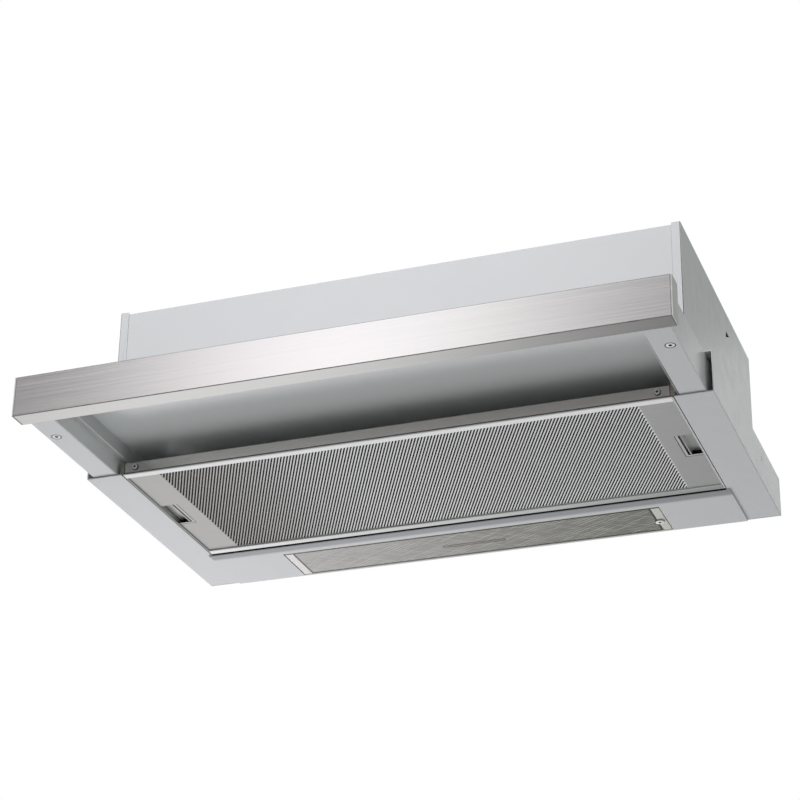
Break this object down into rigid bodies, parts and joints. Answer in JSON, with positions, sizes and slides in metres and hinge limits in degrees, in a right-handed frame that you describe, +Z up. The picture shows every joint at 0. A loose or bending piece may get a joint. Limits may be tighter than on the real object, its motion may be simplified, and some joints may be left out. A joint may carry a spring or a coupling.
{
  "type": "pull out range hood",
  "caption": "Slim kitchen hood for a wall cabinet: steel body and fan box with a duct collar, a sliding drawer with a steel front, a drop-out grease filter and a hinged lamp lens.",
  "frame": {"origin": "middle of the back panel's outer face, level with the two ledges that bear on the undersides of the cabinet's sides", "axes": "+X to the right seen from the front, +Y to the back, +Z up; the drawer slides out towards -Y and rests drawn out"},
  "size_m": [0.598, 0.4293, 0.2082],
  "materials": {
    "housing_paint": "satin light cool grey",
    "tray_paint": "satin grey",
    "stainless": "brushed along the width",
    "zinc_steel": "zinc plated",
    "bright_steel": "bright",
    "filter_metal": "mill, with a perforated field",
    "filter_mesh": "expanded mesh",
    "lens_plastic": "clear with prisms inside",
    "tube_glass": "white coated",
    "dark_plastic": "fine texture",
    "grey_plastic": "fine texture",
    "white_plastic": "fine texture"
  },
  "bodies": {
    "housing": {"back_panel": "housing_paint", "front_panel": "housing_paint", "top_plate": "housing_paint", "inner_deck": "zinc_steel", "rear_bottom_panel": "housing_paint", "cross_member": "stainless", "side_panel_left": "housing_paint", "side_panel_right": "housing_paint", "cross_bracket_left": "zinc_steel", "cross_bracket_right": "zinc_steel", "cross_screw_left": "bright_steel", "cross_screw_right": "bright_steel", "fixed_runner_left": "zinc_steel", "fixed_runner_right": "zinc_steel", "lens_hinge_pin": "bright_steel", "lamp_tray": "white_plastic", "lamp_tube": "tube_glass", "lamp_holder_left": "white_plastic", "lamp_holder_right": "white_plastic", "scroll_housing": "grey_plastic", "scroll_cover": "grey_plastic", "inlet_ring": "grey_plastic", "motor_bracket": "zinc_steel", "motor_body": "zinc_steel", "outlet_collar": "dark_plastic", "flap_pin": "bright_steel", "terminal_box": "white_plastic", "terminal_block": "grey_plastic", "cable_gland": "dark_plastic", "capacitor": "white_plastic", "ballast": "zinc_steel", "door_switch": "dark_plastic"},
    "drawer": {"fascia": "stainless", "drawer_tray": "tray_paint", "control_housing": "dark_plastic", "fascia_end_left": "grey_plastic", "fascia_end_right": "grey_plastic", "drawer_rail_left": "housing_paint", "drawer_rail_right": "housing_paint", "moving_runner_left": "zinc_steel", "moving_runner_right": "zinc_steel", "rail_screw_left": "bright_steel", "rail_screw_right": "bright_steel"},
    "fan_knob": {"fan_speed_slider": "dark_plastic"},
    "light_knob": {"light_slider": "dark_plastic"},
    "filter": {"filter_frame": "filter_metal", "filter_face_sheet": "filter_metal", "filter_mesh_pad": "filter_mesh", "filter_back_sheet": "filter_metal"},
    "latch_left": {"filter_latch_left": "filter_metal"},
    "latch_right": {"filter_latch_right": "filter_metal"},
    "lens": {"lamp_lens": "lens_plastic", "lens_screw": "bright_steel"},
    "fan_wheel": {"impeller": "dark_plastic", "motor_shaft": "bright_steel"},
    "flap_front": {"damper_flap_front": "dark_plastic"},
    "flap_rear": {"damper_flap_rear": "dark_plastic"},
    "plunger": {"switch_plunger": "white_plastic"}
  },
  "joints": [
    {"name": "drawer_slide", "type": "slide", "parent": "housing", "child": "drawer", "axis": [0, 1, 0], "range_m": [0, 0.126]},
    {"name": "fan_speed_slide", "type": "slide", "parent": "drawer", "child": "fan_knob", "axis": [1, 0, 0], "range_m": [0, 0.03]},
    {"name": "light_slide", "type": "slide", "parent": "drawer", "child": "light_knob", "axis": [1, 0, 0], "range_m": [0, 0.012]},
    {"name": "filter_drop", "type": "slide", "parent": "housing", "child": "filter", "axis": [0, 0, -1], "range_m": [0, 0.05]},
    {"name": "latch_left_slide", "type": "slide", "parent": "filter", "child": "latch_left", "axis": [1, 0, 0], "range_m": [0, 0.004], "stiffness_N_per_m": 500},
    {"name": "latch_right_slide", "type": "slide", "parent": "filter", "child": "latch_right", "axis": [-1, 0, 0], "range_m": [0, 0.004], "stiffness_N_per_m": 500},
    {"name": "lens_hinge", "type": "hinge", "parent": "housing", "child": "lens", "pos_m": [-0.188, -0.03125, -0.035], "axis": [0, 1, 0], "range_deg": [0, 80]},
    {"name": "impeller_spin", "type": "hinge", "parent": "housing", "child": "fan_wheel", "pos_m": [0, -0.1492, 0.0568], "axis": [1, 0, 0], "continuous": true},
    {"name": "flap_front_hinge", "type": "hinge", "parent": "housing", "child": "flap_front", "pos_m": [0, -0.138, 0.1413], "axis": [-1, 0, 0], "range_deg": [0, 75]},
    {"name": "flap_rear_hinge", "type": "hinge", "parent": "housing", "child": "flap_rear", "pos_m": [0, -0.138, 0.1413], "axis": [1, 0, 0], "range_deg": [0, 75]},
    {"name": "switch_press", "type": "slide", "parent": "housing", "child": "plunger", "axis": [0, 1, 0], "range_m": [0, 0.0018], "stiffness_N_per_m": 400}
  ]
}
